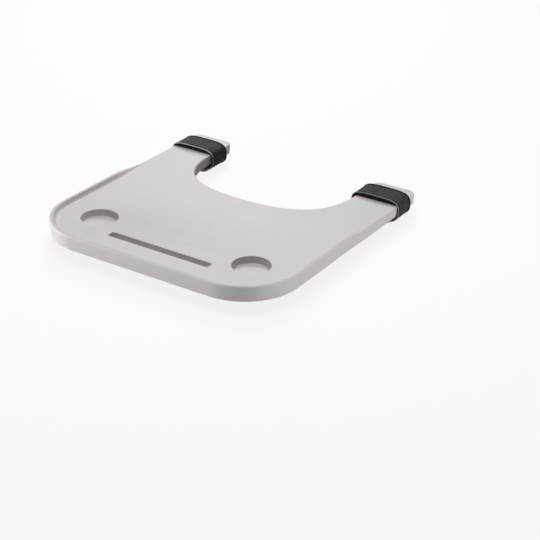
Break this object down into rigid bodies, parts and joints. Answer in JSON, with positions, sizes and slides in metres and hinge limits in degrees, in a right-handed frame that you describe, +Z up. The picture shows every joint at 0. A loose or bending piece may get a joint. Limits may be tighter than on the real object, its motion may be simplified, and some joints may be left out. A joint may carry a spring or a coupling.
{
  "type": "wheelchair lap tray",
  "caption": "Moulded lap tray with rim, body cut-out, cup wells and device slot, held on wheelchair armrests by hook-and-loop straps.",
  "frame": {"origin": "midway between the two straps, at the height where the grip pads rest on the armrests", "axes": "+Z up, +Y towards the wheelchair's backrest, +X towards the sitter's left; left and right in the names are the sitter's"},
  "size_m": [0.6098, 0.6215, 0.0619],
  "materials": {
    "tray_plastic": "warm light grey moulded ABS, fine matte grain",
    "pad_rubber": "ribbed non-slip rubber",
    "strap_webbing": "black cross-ribbed webbing",
    "binding_tape": "folded and stitched binding tape",
    "loop_pile": "napped loop pile",
    "hook_tape": "nylon hook tape"
  },
  "bodies": {
    "tray": {"tray_shell": "tray_plastic", "left_rear_grip_pad": "pad_rubber", "left_front_grip_pad": "pad_rubber", "right_rear_grip_pad": "pad_rubber", "right_front_grip_pad": "pad_rubber"},
    "left_strap": {"left_strap_band": "strap_webbing", "left_strap_front_binding": "binding_tape", "left_strap_rear_binding": "binding_tape", "left_loop_patch": "loop_pile"},
    "left_tail": {"left_strap_tail": "strap_webbing", "left_hook_patch": "hook_tape"},
    "right_strap": {"right_strap_band": "strap_webbing", "right_strap_front_binding": "binding_tape", "right_strap_rear_binding": "binding_tape", "right_loop_patch": "loop_pile"},
    "right_tail": {"right_strap_tail": "strap_webbing", "right_hook_patch": "hook_tape"}
  },
  "joints": [
    {"name": "left_strap_slide", "type": "slide", "parent": "tray", "child": "left_strap", "axis": [0, 1, 0], "range_m": [0, 0.028]},
    {"name": "left_tail_peel", "type": "hinge", "parent": "left_strap", "child": "left_tail", "pos_m": [0.27032, 0, -0.02151], "axis": [0, -1, 0], "range_deg": [0, 120]},
    {"name": "right_strap_slide", "type": "slide", "parent": "tray", "child": "right_strap", "axis": [0, 1, 0], "range_m": [0, 0.028]},
    {"name": "right_tail_peel", "type": "hinge", "parent": "right_strap", "child": "right_tail", "pos_m": [-0.27032, 0, -0.02151], "axis": [0, 1, 0], "range_deg": [0, 120]}
  ]
}
